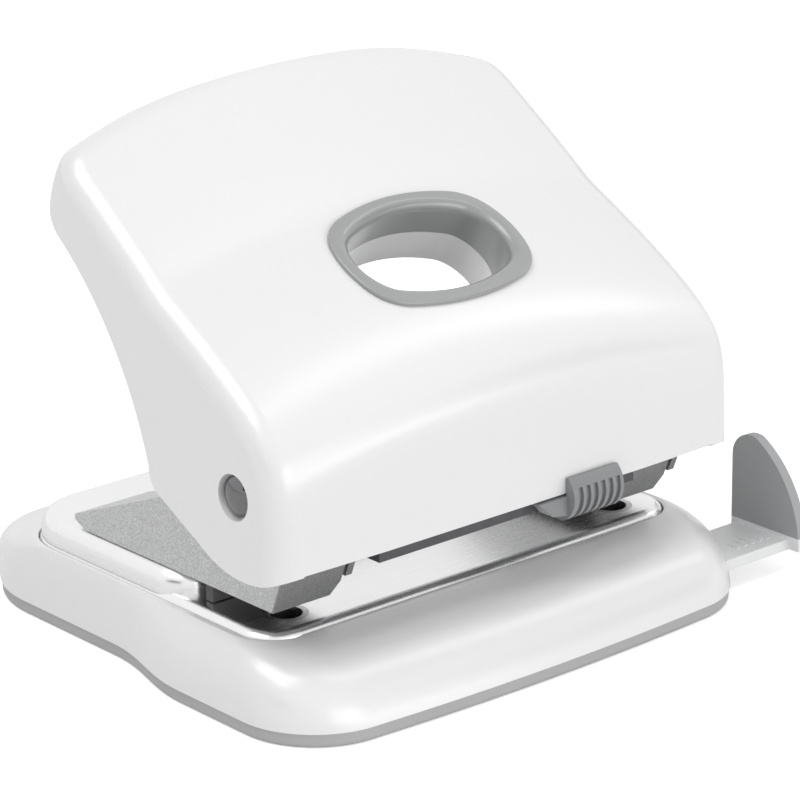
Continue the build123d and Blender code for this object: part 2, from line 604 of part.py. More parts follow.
def make_return_spring(x):
    path = spring_path(x)
    start = Plane(origin=path @ 0, z_dir=path % 0)
    return sweep(start * Circle(SPRING_WIRE / 2), path=path)


def make_pivot_stud(side):
    """Shoulder stud with a domed head, through the handle's side and the outer cheek."""
    head_x = handle_half(PIVOT_Y, PIVOT_Z) - STUD_RECESS + 0.1
    inner_x = HOLE_SPACING / 2 + CHEEK_IN - 1.6
    groove_x, cheek_x = groove_span()
    head = STUD_HEAD_DIAMETER / 2
    rise = STUD_HEAD_DOME - STUD_HEAD_EDGE
    dome = (head ** 2 + rise ** 2) / (2 * rise)
    stud = upright(STUD_DIAMETER / 2, inner_x, groove_x, 0, 0)
    stud += upright(STUD_DIAMETER / 2 - CLIP_BITE, groove_x, cheek_x, 0, 0)
    stud += upright(STUD_DIAMETER / 2, cheek_x, head_x, 0, 0)
    ball = Pos(0, 0, head_x + STUD_HEAD_DOME - dome) * Sphere(dome)
    stud += ball & upright(head, head_x, head_x + STUD_HEAD_DOME + 1, 0, 0)
    stud = Pos(0, PIVOT_Y, PIVOT_Z) * Rot(0, 90, 0) * stud
    return stud if side > 0 else mirror(stud, Plane.YZ)


def groove_span():
    outer = HOLE_SPACING / 2 + CHEEK_IN
    return outer - CLIP_SHEET - 0.1, outer


def make_pivot_clip(side):
    """E-clip in the stud's groove, against the inside of the cheek."""
    x0, x1 = groove_span()
    clip = crosswise(CLIP_DIAMETER / 2, x0 + 0.05, x1, PIVOT_Y, PIVOT_Z)
    clip -= crosswise(STUD_DIAMETER / 2 - CLIP_BITE, x0 - 1, x1 + 1, PIVOT_Y, PIVOT_Z)
    slot = STUD_DIAMETER / 2 - CLIP_BITE - 0.2
    clip -= block(x0 - 1, x1 + 1, PIVOT_Y - CLIP_DIAMETER, PIVOT_Y, PIVOT_Z - slot, PIVOT_Z + slot)
    return clip if side > 0 else mirror(clip, Plane.YZ)


# ---------- handle ----------
SLOPE = radians(GRIP_SLOPE)
SLOPE_OUT = (-sin(SLOPE), cos(SLOPE))       # outward normal of the top in (y, z)
TOP_PLANE = Plane(origin=(0, 0, 0), x_dir=(1, 0, 0), z_dir=(0, *SLOPE_OUT))
COLLAR_STEP = 5.0                           # depth of the grommet's sleeve in the collar
GROMMET_WALL = 1.3
LIP_TOP_Z = 39.0                            # the front wall is upright up to here


def along_slope(y, z):
    return y * cos(SLOPE) + z * sin(SLOPE)


def handle_half(y, z):
    """Half width of the handle at a point of its side; it narrows towards the free end."""
    foot = along_slope(HANDLE_FRONT_Y, HANDLE_LIP_Z)
    top = along_slope(HANDLE_END_Y, EDGE_LAST[1])
    share = (along_slope(y, z) - foot) / (top - foot)
    return HANDLE_HALF_FOOT + (HANDLE_HALF_TOP - HANDLE_HALF_FOOT) * share


def crown_share(x):
    return 1 - (x / CROWN_HALF) ** 2


def lip_face_y(x):
    """Outer face of the bowed front lip at x."""
    return HANDLE_FRONT_Y - HANDLE_FRONT_BOW * crown_share(x)


def handle_profile(x, inset):
    """Closed side view (y, z) of the crowned handle form at x, moved in by an inset."""
    crown = crown_share(x)
    lift = EDGE_LIFT + HANDLE_CROWN * crown - inset
    front = lip_face_y(x) + inset
    end = HANDLE_END_Y + HANDLE_END_BOW * crown - inset
    ball = HANDLE_END_ROUND - inset
    line = [(y + lift * SLOPE_OUT[0], z + lift * SLOPE_OUT[1]) for y, z in EDGE_LINE]
    line[0] = (line[0][0] + lift * 0.15, line[0][1] - lift * 0.25)
    cy = end - ball
    last_y = EDGE_LAST[0] + lift * SLOPE_OUT[0]
    last_z = EDGE_LAST[1] + lift * SLOPE_OUT[1]
    cz = last_z + (cy - last_y) * tan(SLOPE) - ball / cos(SLOPE)
    leave = (cy - ball * sin(SLOPE), cz + ball * cos(SLOPE))
    turn = (pi / 2 + SLOPE) / 2
    foot = HANDLE_LIP_Z - 10.0
    face = make_face([
        Line((front, foot), (front, LIP_TOP_Z)),
        Spline((front, LIP_TOP_Z), *line, leave, tangents=[(0, 1), (cos(SLOPE), sin(SLOPE))]),
        ThreePointArc(leave, (cy + ball * cos(turn), cz + ball * sin(turn)), (end, cz)),
        Line((end, cz), (end, foot)),
        Line((end, foot), (front, foot)),
    ])
    return Plane.YZ.offset(x) * face


def handle_form(inset, corner, edge_round):
    """Crowned body cut to the tapered plan, with rounded free-end corners and side edges."""
    body = loft([handle_profile(x, inset) for x in (-CROWN_REACH, 0, CROWN_REACH)])
    low = along_slope(HANDLE_FRONT_Y, HANDLE_LIP_Z) - 25.0
    high = along_slope(HANDLE_END_Y, EDGE_LAST[1] + HANDLE_CROWN) - inset
    w_low, w_high = [handle_half(s * cos(SLOPE), s * sin(SLOPE)) - inset for s in (low, high)]
    plan = polygon([(-w_low, low), (w_low, low), (w_high, high), (-w_high, high)])
    plan = fillet(plan.vertices().sort_by(Axis.Y)[2:], corner)
    body = body & extrude(TOP_PLANE * plan, 160, both=True)
    flank = HANDLE_HALF_TOP * 0.66
    rims = [edge for edge in body.edges() if edge.bounding_box().max.Z > HANDLE_LIP_Z
            and min(abs(edge.position_at(share).X) for share in (0, 0.5, 1)) > flank]
    return fillet(rims, edge_round)


def under_cut():
    """Everything below the handle's lower edge, seen from the side."""
    return make_face([
        ThreePointArc((-51.0, 32.6), (-38.4, 28.6), (-25.0, 32.1)),
        Line((-25.0, 32.1), (-14.0, 37.4)),
        ThreePointArc((-14.0, 37.4), (-11.2, 39.4), (-10.2, 42.6)),
        ThreePointArc((-10.2, 42.6), (-1.3, 60.8), (16.9, 79.4)),
        Line((16.9, 79.4), (30.0, 95.0)),
        Polyline((30.0, 95.0), (60.0, 95.0), (60.0, 0.0), (-51.0, 0.0), (-51.0, 32.6)),
    ])


def grip_plan(margin):
    """Oval with four bowed sides and rounded corners, grown by a margin."""
    half_length, half_depth = GRIP_LENGTH / 2 + margin, GRIP_DEPTH / 2 + margin
    a, b = half_length - GRIP_END_BOW, half_depth - GRIP_LONG_BOW
    plan = make_face([
        ThreePointArc((-a, -b), (0, -half_depth), (a, -b)),
        ThreePointArc((a, -b), (half_length, 0), (a, b)),
        ThreePointArc((a, b), (0, half_depth), (-a, b)),
        ThreePointArc((-a, b), (-half_length, 0), (-a, -b)),
    ])
    return fillet(plan.vertices(), GRIP_CORNER + margin)


def grip_prism(margin, low, high):
    """The hole's oval through the top, between two heights along the top's normal."""
    y = GRIP_Y + low * SLOPE_OUT[0]
    z = GRIP_Z + low * SLOPE_OUT[1]
    plane = Plane(origin=(0, y, z), x_dir=(1, 0, 0), z_dir=(0, *SLOPE_OUT))
    return extrude(plane * grip_plan(margin), high - low)


def frame_screw_places():
    return [(side * x, FRAME_SCREW_Y) for side in (-1, 1) for x in (FRAME_SCREW_IN_X, FRAME_SCREW_OUT_X)]


def make_handle_shell():
    outer = handle_form(0.0, HANDLE_CORNER_ROUND, HANDLE_EDGE_ROUND)
    cavity = handle_form(HANDLE_WALL, HANDLE_CORNER_ROUND, HANDLE_EDGE_ROUND - HANDLE_WALL)
    sleeve = GROMMET_WALL - GRIP_RIM + SLIP / 2
    inside = [grip_prism(HANDLE_WALL - GRIP_RIM, -GRIP_COLLAR, GRIP_COLLAR)]
    inside += [upright(3.0, FRAME_Z, FRAME_Z + 30, x, y) for x, y in frame_screw_places()]
    inside += [Pos(x, RAIL_FRONT_Y + RAIL_TAB, RAIL_PEG_Z) * Rot(90, 0, 0) * Cylinder(
        RAIL_PEG, 8, align=(Align.CENTER, Align.CENTER, Align.MIN)) for x in (-RAIL_TAB_X, RAIL_TAB_X)]
    inner = HOLE_SPACING / 2 + BRACKET_WIDTH / 2 + 0.4
    half = handle_half(PIVOT_Y, PIVOT_Z)
    inside += both_sides(crosswise(STUD_DIAMETER / 2 + 3.0, inner, half + 3, PIVOT_Y, PIVOT_Z))
    shell = outer - cavity - side_prism(under_cut(), -80, 80)
    shell -= block(-LIP_HALF, LIP_HALF, HANDLE_FRONT_Y - 5, RAIL_FRONT_Y, 0, HANDLE_LIP_Z)
    for form in inside:
        shell += form & outer
    shell -= grip_prism(sleeve, -COLLAR_STEP, 60)
    shell -= grip_prism(-GRIP_RIM, -30, 60)
    sink = crosswise(STUD_HEAD_DIAMETER / 2 + 0.4, half - STUD_RECESS, half + 5, PIVOT_Y, PIVOT_Z)
    for recess in both_sides(sink):
        shell -= recess
    for bore in both_sides(crosswise(STUD_DIAMETER / 2 + RUNNING, inner - 1, half + 5, PIVOT_Y, PIVOT_Z)):
        shell -= bore
    for x, y in frame_screw_places():
        shell -= upright(FRAME_SCREW, FRAME_Z - 1, FRAME_Z + FRAME_SCREW_DEPTH + 0.3, x, y)
    return shell


def make_hole_grommet():
    """Grey ring in the grip hole: a rim on the crowned top that rolls into a short sleeve."""
    above = [handle_form(-rise, HANDLE_CORNER_ROUND, HANDLE_EDGE_ROUND)
             for rise in (RUNNING, GRIP_RIM_PROUD)]
    rim = (above[1] - above[0]) & grip_prism(0, -15, 30)
    sleeve = grip_prism(GROMMET_WALL - GRIP_RIM, -COLLAR_STEP + 0.1, 30) & above[1]
    ring = rim + sleeve - grip_prism(-GRIP_RIM, -30, 60)
    outward = Vector(0, *SLOPE_OUT)
    crest = max(ring.faces(), key=lambda face: face.area * face.normal_at().dot(outward))
    ring = fillet(crest.inner_wires()[0].edges(), GRIP_ROLL)
    crest = max(ring.faces(), key=lambda face: face.area * face.normal_at().dot(outward))
    return fillet(crest.outer_wire().edges(), GRIP_RIM_PROUD / 2)


def make_press_frame():
    """Sheet bridge under the top with two bent arms whose rolled ends push the pins."""
    rear = NOSE_Y + FRAME_SHEET / 2
    reach = HOLE_SPACING / 2 + NOSE_HALF + 1.5
    frame = block(-reach, reach, FRAME_FRONT_Y, rear, FRAME_Z - FRAME_SHEET, FRAME_Z)
    frame += block(-reach, reach, rear - FRAME_SHEET, rear, FRAME_Z - FRAME_SHEET, FRAME_Z + 2.0)
    for x in PINS_X:
        frame += block(x - NOSE_HALF, x + NOSE_HALF, rear - FRAME_SHEET, rear, NOSE_Z, FRAME_Z)
        frame += crosswise(NOSE_RADIUS, x - NOSE_HALF, x + NOSE_HALF, NOSE_Y, NOSE_Z)
        frame -= crosswise(NOSE_RADIUS - FRAME_SHEET, x - NOSE_HALF - 1, x + NOSE_HALF + 1, NOSE_Y, NOSE_Z)
    for x, y in frame_screw_places():
        frame -= upright(FRAME_SCREW + 0.2, FRAME_Z - 5, FRAME_Z + 1, x, y)
    return frame


def make_frame_screws():
    screws = []
    for x, y in frame_screw_places():
        low = FRAME_Z - FRAME_SHEET
        shank = upright(FRAME_SCREW - RUNNING, low, FRAME_Z + FRAME_SCREW_DEPTH, x, y)
        screws.append(shank + screw_head(low, x, y))
    return screws


def make_latch_rail():
    """Dark cross rail behind the lip; its two tabs sit on pegs of the front wall."""
    rail = block(-RAIL_HALF, RAIL_HALF, RAIL_FRONT_Y, RAIL_BACK_Y, RAIL_LOW_Z, RAIL_TOP_Z)
    for x in (-RAIL_TAB_X, RAIL_TAB_X):
        rail += block(x - 3.0, x + 3.0, RAIL_FRONT_Y, RAIL_FRONT_Y + RAIL_TAB, RAIL_TOP_Z, RAIL_PEG_Z + 3.2)
        rail -= Pos(x, RAIL_FRONT_Y, RAIL_PEG_Z) * Rot(90, 0, 0) * Cylinder(RAIL_PEG + RUNNING, 10)
    return rail


def latch_pad_profile(sink):
    """Belly of the thumb pad (y, z), sunk by the depth of a finger groove."""
    back = lip_face_y(LATCH_TAIL_X) - SLIP / 2
    return make_face([
        ThreePointArc((back - 0.5 + sink / 2, LATCH_TOP_Z), (back - LATCH_PROUD + sink, 29.4),
                      (back + 1.0 + sink, LATCH_BOTTOM_Z)),
        Polyline((back + 1.0 + sink, LATCH_BOTTOM_Z), (back + 3.0, LATCH_BOTTOM_Z),
                 (back + 3.0, LATCH_WEB_TOP_Z), (back, HANDLE_LIP_Z - SLIP), (back, LATCH_TOP_Z),
                 (back - 0.5 + sink / 2, LATCH_TOP_Z)),
    ])


def make_latch_slider():
    """Ribbed thumb pad in front of the lip, carried by a hook that runs on the rail."""
    groove = LATCH_GROOVE
    pitch = (LATCH_RIGHT_X - LATCH_LEFT_X - 1.2) / LATCH_RIBS
    first = LATCH_LEFT_X + 1.2
    pad = side_prism(latch_pad_profile(groove), LATCH_LEFT_X, LATCH_RIGHT_X)
    full = side_prism(latch_pad_profile(0), LATCH_LEFT_X, LATCH_RIGHT_X)
    slots = [block(first + n * pitch, first + (n + 0.6) * pitch, -60, -40, 0, LATCH_TOP_Z - 1.8)
             for n in range(LATCH_RIBS)]
    for slot in slots:
        full -= slot
    tail = polygon([(LATCH_TAIL_X, HANDLE_LIP_Z - SLIP), (LATCH_TAIL_X + 3.4, LATCH_BOTTOM_Z + 2.0),
                    (LATCH_LEFT_X + 1, LATCH_BOTTOM_Z + 1.2), (LATCH_LEFT_X + 1, HANDLE_LIP_Z - SLIP)])
    back = lip_face_y(LATCH_TAIL_X)
    slider = pad + full + Pos(0, back + 2.6, 0) * extrude(Plane.XZ * tail, 3.2)
    x0, x1 = LATCH_LEFT_X + 1.0, LATCH_RIGHT_X - 1.0
    hook_y = RAIL_BACK_Y + 0.4
    slider += block(x0, x1, back + 2.5, hook_y + 1.4, LATCH_BOTTOM_Z, LATCH_WEB_TOP_Z)
    slider += block(x0, x1, hook_y, hook_y + 1.4, LATCH_BOTTOM_Z, RAIL_TOP_Z + 1.5)
    slider += block(x0, x1, hook_y - 1.8, hook_y + 1.4, RAIL_TOP_Z + 0.2, RAIL_TOP_Z + 1.5)
    return slider


# ---------- parts ----------
def group(solids):
    return Compound(children=list(solids))


def add_pair(name, maker):
    """The same piece at both punching units, or on both sides."""
    parts[name + "_left"] = maker(-1)
    parts[name + "_right"] = maker(1)


def at_unit(maker):
    return lambda side: maker(side * HOLE_SPACING / 2)


parts["base_shell"] = make_base_shell()
parts["chip_tray"] = make_chip_tray()
parts["tray_hinge_pin"] = make_hinge_pin()
parts["base_plate"] = make_base_plate()
parts["base_screws"] = group(make_base_screws())
parts["bracket_rivets"] = group(make_bracket_rivets())
parts["guide_detent"] = make_guide_detent()
parts["paper_guide"] = make_paper_guide()
add_pair("die", at_unit(make_die))
add_pair("bracket", at_unit(make_bracket))
add_pair("pin_guide", at_unit(make_pin_guide))
add_pair("punch_pin", at_unit(make_punch_pin))
add_pair("return_spring", at_unit(make_return_spring))
add_pair("pivot_stud", make_pivot_stud)
add_pair("pivot_clip", make_pivot_clip)
parts["handle_shell"] = make_handle_shell()
parts["hole_grommet"] = make_hole_grommet()
parts["press_frame"] = make_press_frame()
parts["frame_screws"] = group(make_frame_screws())
parts["latch_rail"] = make_latch_rail()
parts["latch_slider"] = make_latch_slider()

os.makedirs("parts", exist_ok=True)
for name, shape in parts.items():
    shape.label = name
    export_step(shape, f"parts/{name}.step")
    box = shape.bounding_box()
    size = [round(v, 2) for v in (*box.min, *box.max)]
    print(f"{name:22s} solids {len(shape.solids())} box {size}")
print(f"spring self-gap {spring_self_gap():.2f} mm")
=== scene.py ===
import json
from math import pi, radians

import bmesh
import bpy
from mathutils import Matrix, Vector


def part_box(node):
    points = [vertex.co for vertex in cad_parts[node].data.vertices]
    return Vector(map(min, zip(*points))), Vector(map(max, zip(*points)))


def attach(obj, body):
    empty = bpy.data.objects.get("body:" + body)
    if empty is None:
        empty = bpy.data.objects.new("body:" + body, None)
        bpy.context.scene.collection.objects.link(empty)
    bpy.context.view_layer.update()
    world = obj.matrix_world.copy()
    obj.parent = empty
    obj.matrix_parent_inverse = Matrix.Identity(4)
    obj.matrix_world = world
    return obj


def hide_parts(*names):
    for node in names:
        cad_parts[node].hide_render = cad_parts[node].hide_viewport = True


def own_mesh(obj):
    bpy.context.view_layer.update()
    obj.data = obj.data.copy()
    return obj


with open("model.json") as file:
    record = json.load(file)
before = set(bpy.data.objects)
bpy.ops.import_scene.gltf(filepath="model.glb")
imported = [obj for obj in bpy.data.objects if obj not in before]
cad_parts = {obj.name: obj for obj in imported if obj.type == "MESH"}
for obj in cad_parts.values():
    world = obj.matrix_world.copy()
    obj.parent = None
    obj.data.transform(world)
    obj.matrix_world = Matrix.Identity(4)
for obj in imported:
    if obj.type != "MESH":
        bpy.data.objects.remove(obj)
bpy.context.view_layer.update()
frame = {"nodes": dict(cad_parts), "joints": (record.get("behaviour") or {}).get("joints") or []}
scene = bpy.context.scene
scene.view_settings.view_transform = "Standard"
print("frame loaded:", len(frame["nodes"]), "nodes")


# the camera stands at the photograph's angle, fitted to the straight edges of the punch
photoView = {
    "place": (-0.4433, -0.5342, 0.2809),
    "lookAt": (-0.01851, -0.0370, 0.05319),
    "roll": -0.72,                      # degrees
    "lens": 175.5,
    "sensor": 36.0,
    "farthest": 20,
}


def makeCamera(view):
    lensData = bpy.data.cameras.new("photoCamera")
    lensData.lens = view["lens"]
    lensData.sensor_width = view["sensor"]
    lensData.clip_end = view["farthest"]
    camera = bpy.data.objects.new("photoCamera", lensData)
    scene.collection.objects.link(camera)
    place = Vector(view["place"])
    aim = (Vector(view["lookAt"]) - place).to_track_quat("-Z", "Y").to_matrix().to_4x4()
    roll = Matrix.Rotation(radians(view["roll"]), 4, "Z")
    camera.matrix_world = Matrix.Translation(place) @ aim @ roll
    scene.camera = camera


makeCamera(photoView)
print("camera placed")


class Signal:
    # a node's output that takes part in ordinary sums
    def __init__(self, sheet, socket):
        self.sheet = sheet
        self.socket = socket

    def sum(self, operation, first, second):
        return self.sheet.node("ShaderNodeMath", {"operation": operation}, {0: first, 1: second})

    def __add__(self, other):
        return self.sum("ADD", self, other)

    def __radd__(self, other):
        return self.sum("ADD", other, self)

    def __mul__(self, other):
        return self.sum("MULTIPLY", self, other)

    def __rmul__(self, other):
        return self.sum("MULTIPLY", other, self)

    def above(self, limit):
        # 1 where the signal lies over the limit, 0 elsewhere
        return self.sum("GREATER_THAN", self, limit)


class NodeSheet:
    # the nodes of one material, or of the world
    def __init__(self, owner):
        owner.use_nodes = True
        self.tree = owner.node_tree

    def node(self, kind, settings=None, sockets=None, out=0):
        made = self.tree.nodes.new(kind)
        for name, value in (settings or {}).items():
            if name == "stops":
                ramp = made.color_ramp
                for element, (place, shade) in zip(ramp.elements, value):
                    element.position = place
                    element.color = (shade, shade, shade, 1)
            else:
                setattr(made, name, value)
        for key, value in (sockets or {}).items():
            self.feed(made.inputs[key], value)
        return Signal(self, made.outputs[out])

    def feed(self, socket, value):
        if isinstance(value, Signal):
            self.tree.links.new(value.socket, socket)
        else:
            socket.default_value = value


class Finish(NodeSheet):
    # one material, with its principled shader ready to be fed
    def __init__(self, name, **constants):
        self.material = bpy.data.materials.new(name)
        super().__init__(self.material)
        self.shader = self.tree.nodes["Principled BSDF"]
        for socket, value in constants.items():
            self.set(socket.replace("_", " "), value)

    def set(self, name, value):
        self.feed(self.shader.inputs[name], value)

    def place(self):
        return self.node("ShaderNodeTexCoord", out="Object")

    def along(self, axis):
        return self.node("ShaderNodeSeparateXYZ", None, {"Vector": self.place()}, axis)

    def noise(self, scale, detail=2.0, rough=0.5, stretch=None):
        where = self.place()
        if stretch:
            where = self.node("ShaderNodeMapping", None, {"Vector": where, "Scale": stretch})
        return self.node("ShaderNodeTexNoise", None,
                         {"Vector": where, "Scale": scale, "Detail": detail, "Roughness": rough})

    def ramp(self, factor, low, high):
        # black up to low, white from high on
        stops = ((low, 0.0), (high, 1.0))
        return self.node("ShaderNodeValToRGB", {"stops": stops}, {"Fac": factor})

    def blend(self, factor, first, second):
        pair = [shade if isinstance(shade, Signal) else (*shade, 1) for shade in (first, second)]
        return self.node("ShaderNodeMix", {"data_type": "RGBA"},
                         {0: factor, 6: pair[0], 7: pair[1]}, 2)

    def scaled(self, colour, tone):
        return self.node("ShaderNodeVectorMath", {"operation": "SCALE"}, {0: colour, "Scale": tone})

    def bump(self, height, strength, depth):
        self.set("Normal", self.node("ShaderNodeBump", None,
                                     {"Height": height, "Strength": strength, "Distance": depth}))


def paint(finish, *nodeNames):
    for name in nodeNames:
        piece = frame["nodes"][name]
        if not piece.material_slots:
            piece.data.materials.append(finish.material)
        for slot in piece.material_slots:
            slot.material = finish.material


# the white moulded cover and handle
shellLook = {
    "white": (0.80, 0.80, 0.80),
    "shade": (0.77, 0.77, 0.77),
    "cloudScale": 14.0,
    "cloudDetail": 3.0,
    "roughness": 0.25,
    "roughnessSpread": 0.10,
    "coat": 0.8,
    "coatRoughness": 0.22,
    "grainScale": 900.0,
    "grainStrength": 0.05,
    "grainDepth": 0.0002,
}


def whiteShell(look):
    finish = Finish("shellWhite", Coat_Weight=look["coat"], Coat_Roughness=look["coatRoughness"])
    cloud = finish.noise(look["cloudScale"], look["cloudDetail"])
    grain = finish.noise(look["grainScale"])
    finish.set("Base Color", finish.blend(cloud, look["white"], look["shade"]))
    finish.set("Roughness", cloud * look["roughnessSpread"] + look["roughness"])
    finish.bump(grain, look["grainStrength"], look["grainDepth"])
    return finish


# the grey plastics differ in tone and gloss, and share one grain
satinGrain = {
    "cloudScale": 40.0,
    "cloudDetail": 4.0,
    "roughnessSpread": 0.12,
    "coatRoughness": 0.2,
    "strength": 0.18,
    "depth": 0.0002,
}

plasticLooks = {
    "trayGrey": {"light": (0.45, 0.45, 0.45), "dark": (0.40, 0.40, 0.40),
                 "roughness": 0.5, "grainScale": 1600.0, "coat": 0.0},
    "guideGrey": {"light": (0.39, 0.395, 0.40), "dark": (0.34, 0.345, 0.35),
                  "roughness": 0.38, "grainScale": 1500.0, "coat": 0.0,
                  "barTop": 0.0072, "bar": (0.80, 0.805, 0.81)},     # the bar is painted paler than the fin: painted light on the bar's top and painted shade on the fin, over the guide's own grey
    "grommetGrey": {"light": (0.31, 0.315, 0.315), "dark": (0.27, 0.275, 0.275),
                    "roughness": 0.28, "grainScale": 1500.0, "coat": 1.0},
    "latchGrey": {"light": (0.27, 0.275, 0.28), "dark": (0.22, 0.225, 0.23),
                  "roughness": 0.36, "grainScale": 1400.0, "coat": 0.0},
    "guideBlock": {"light": (0.11, 0.11, 0.11), "dark": (0.07, 0.07, 0.07),
                   "roughness": 0.5, "grainScale": 1400.0, "coat": 0.0},
}


def satinPlastic(name):
    look = plasticLooks[name]
    finish = Finish(name, Coat_Weight=look["coat"], Coat_Roughness=satinGrain["coatRoughness"])
    cloud = finish.noise(satinGrain["cloudScale"], satinGrain["cloudDetail"])
    grain = finish.noise(look["grainScale"])
    colour = finish.blend(cloud, look["light"], look["dark"])
    # painted light and shade: below barTop the guide takes the paler bar colour, the fin above
    # keeps the darker grey
    if "barTop" in look:
        onFin = finish.along("Z").above(look["barTop"])
        colour = finish.blend(onFin, look["bar"], colour)
    finish.set("Base Color", colour)
    finish.set("Roughness", cloud * satinGrain["roughnessSpread"] + look["roughness"])
    finish.bump(grain, satinGrain["strength"], satinGrain["depth"])
    return finish


# the plated base plate, drawn in fine streaks across the punch
plateLook = {
    "bright": (0.90, 0.90, 0.905),
    "dull": (0.80, 0.80, 0.805),
    "cloudScale": 22.0,
    "cloudSpread": 0.05,
    "streakScale": 70.0,
    "streakStretch": (1.0, 14.0, 14.0),
    "streakSpread": 0.08,
    "detail": 3.0,
    "roughness": 0.20,
    "bumpStrength": 0.03,
    "bumpDepth": 0.0001,
}


def platedSteel(look):
    finish = Finish("plateSteel", Metallic=1.0)
    cloud = finish.noise(look["cloudScale"], look["detail"])
    streaks = finish.noise(look["streakScale"], look["detail"], stretch=look["streakStretch"])
    finish.set("Base Color", finish.blend(cloud, look["bright"], look["dull"]))
    finish.set("Roughness", cloud * look["cloudSpread"] + streaks * look["streakSpread"]
               + look["roughness"])
    finish.bump(streaks, look["bumpStrength"], look["bumpDepth"])
    return finish


# the brackets' speckled paint; their leaning front flanges carry painted shade, darker than the
# cheeks
bracketLook = {
    "light": (0.66, 0.665, 0.665),
    "dark": (0.42, 0.425, 0.425),
    "metallic": 0.95,
    "speckleScale": 3600.0,
    "speckleDetail": 3.0,
    "speckleRough": 0.7,
    "spotsFrom": 0.38,
    "spotsTo": 0.60,
    "roughness": 0.40,
    "roughnessSpread": 0.12,
    "bumpStrength": 0.3,
    "bumpDepth": 0.00015,
    "flangeFoot": (-0.037, 0.0205),     # y and z of the front face's lower edge
    "flangeLean": 0.4076,
    "flangeSkin": 0.0004,
    "flangePaintedShade": 0.55,
}


def speckledPaint(look):
    finish = Finish("bracketPaint", Metallic=look["metallic"])
    speckle = finish.noise(look["speckleScale"], look["speckleDetail"], look["speckleRough"])
    spots = finish.ramp(speckle, look["spotsFrom"], look["spotsTo"])
    footY, footZ = look["flangeFoot"]
    faceDepth = footY + footZ * look["flangeLean"] + look["flangeSkin"]
    # painted shade: the front face of each flange is scaled darker than the cheeks
    onCheek = (finish.along("Y") + finish.along("Z") * look["flangeLean"]).above(faceDepth)
    tone = onCheek * (1 - look["flangePaintedShade"]) + look["flangePaintedShade"]
    colour = finish.blend(spots, look["dark"], look["light"])
    finish.set("Base Color", finish.scaled(colour, tone))
    finish.set("Roughness", spots * look["roughnessSpread"] + look["roughness"])
    finish.bump(speckle, look["bumpStrength"], look["bumpDepth"])
    return finish


# bare hardware, hardened tools and the bright studs share one streaked finish; the studs' colour is
# painted dark
steelStreaks = {
    "scale": 240.0,
    "detail": 3.0,
    "roughnessSpread": 0.12,
    "bumpStrength": 0.05,
    "bumpDepth": 0.0001,
}

steelLooks = {
    "bareSteel": {"bright": (0.60, 0.60, 0.61), "dull": (0.48, 0.48, 0.50),
                  "roughness": 0.30, "stretch": (1.0, 9.0, 9.0)},
    "toolSteel": {"bright": (0.55, 0.55, 0.56), "dull": (0.42, 0.42, 0.44),
                  "roughness": 0.22, "stretch": (1.0, 1.0, 12.0)},
    # painted reflection: the chrome studs are kept dark to stand in for the dark surroundings they
    # mirror in their recesses
    "studChromePaintedDark": {"bright": (0.22, 0.22, 0.22), "dull": (0.15, 0.15, 0.16),
                   "roughness": 0.06, "stretch": (1.0, 1.0, 1.0)},
}


def plainSteel(name):
    look = steelLooks[name]
    finish = Finish(name, Metallic=1.0)
    streaks = finish.noise(steelStreaks["scale"], steelStreaks["detail"], stretch=look["stretch"])
    finish.set("Base Color", finish.blend(streaks, look["bright"], look["dull"]))
    finish.set("Roughness", streaks * steelStreaks["roughnessSpread"] + look["roughness"])
    finish.bump(streaks, steelStreaks["bumpStrength"], steelStreaks["bumpDepth"])
    return finish


# the dark rail that the catch runs on
railLook = {
    "light": (0.09, 0.09, 0.10),
    "dark": (0.045, 0.045, 0.05),
    "cloudScale": 300.0,
    "cloudDetail": 3.0,
    "roughness": 0.4,
    "roughnessSpread": 0.1,
    "bumpStrength": 0.1,
    "bumpDepth": 0.0002,
}


def darkPaint(look):
    finish = Finish("railDark")
    cloud = finish.noise(look["cloudScale"], look["cloudDetail"])
    finish.set("Base Color", finish.blend(cloud, look["light"], look["dark"]))
    finish.set("Roughness", cloud * look["roughnessSpread"] + look["roughness"])
    finish.bump(cloud, look["bumpStrength"], look["bumpDepth"])
    return finish


paint(whiteShell(shellLook), "base_shell", "handle_shell")
paint(satinPlastic("trayGrey"), "chip_tray")
paint(satinPlastic("guideGrey"), "paper_guide")
paint(satinPlastic("grommetGrey"), "hole_grommet")
paint(satinPlastic("latchGrey"), "latch_slider")
paint(satinPlastic("guideBlock"), "pin_guide_left", "pin_guide_right")
paint(platedSteel(plateLook), "base_plate")
paint(speckledPaint(bracketLook), "bracket_left", "bracket_right")
paint(plainSteel("bareSteel"), "bracket_rivets", "base_screws", "frame_screws", "guide_detent",
      "tray_hinge_pin", "press_frame", "pivot_clip_left", "pivot_clip_right")
toolSteel = plainSteel("toolSteel")
paint(toolSteel, "die_left", "die_right", "punch_pin_left", "punch_pin_right")
paint(plainSteel("studChromePaintedDark"), "pivot_stud_left", "pivot_stud_right")
paint(darkPaint(railLook), "latch_rail")
print("finishes made")


def makeObject(name, form, finish):
    mesh = bpy.data.meshes.new(name)
    form.to_mesh(mesh)
    form.free()
    mesh.materials.append(finish.material)
    made = bpy.data.objects.new(name, mesh)
    scene.collection.objects.link(made)
    return made


# the return springs, wound to the sizes of the CAD springs
coil = {
    "wire": 0.0009,
    "turns": 6,
    "stepsPerTurn": 24,
    "wireSides": 10,
}


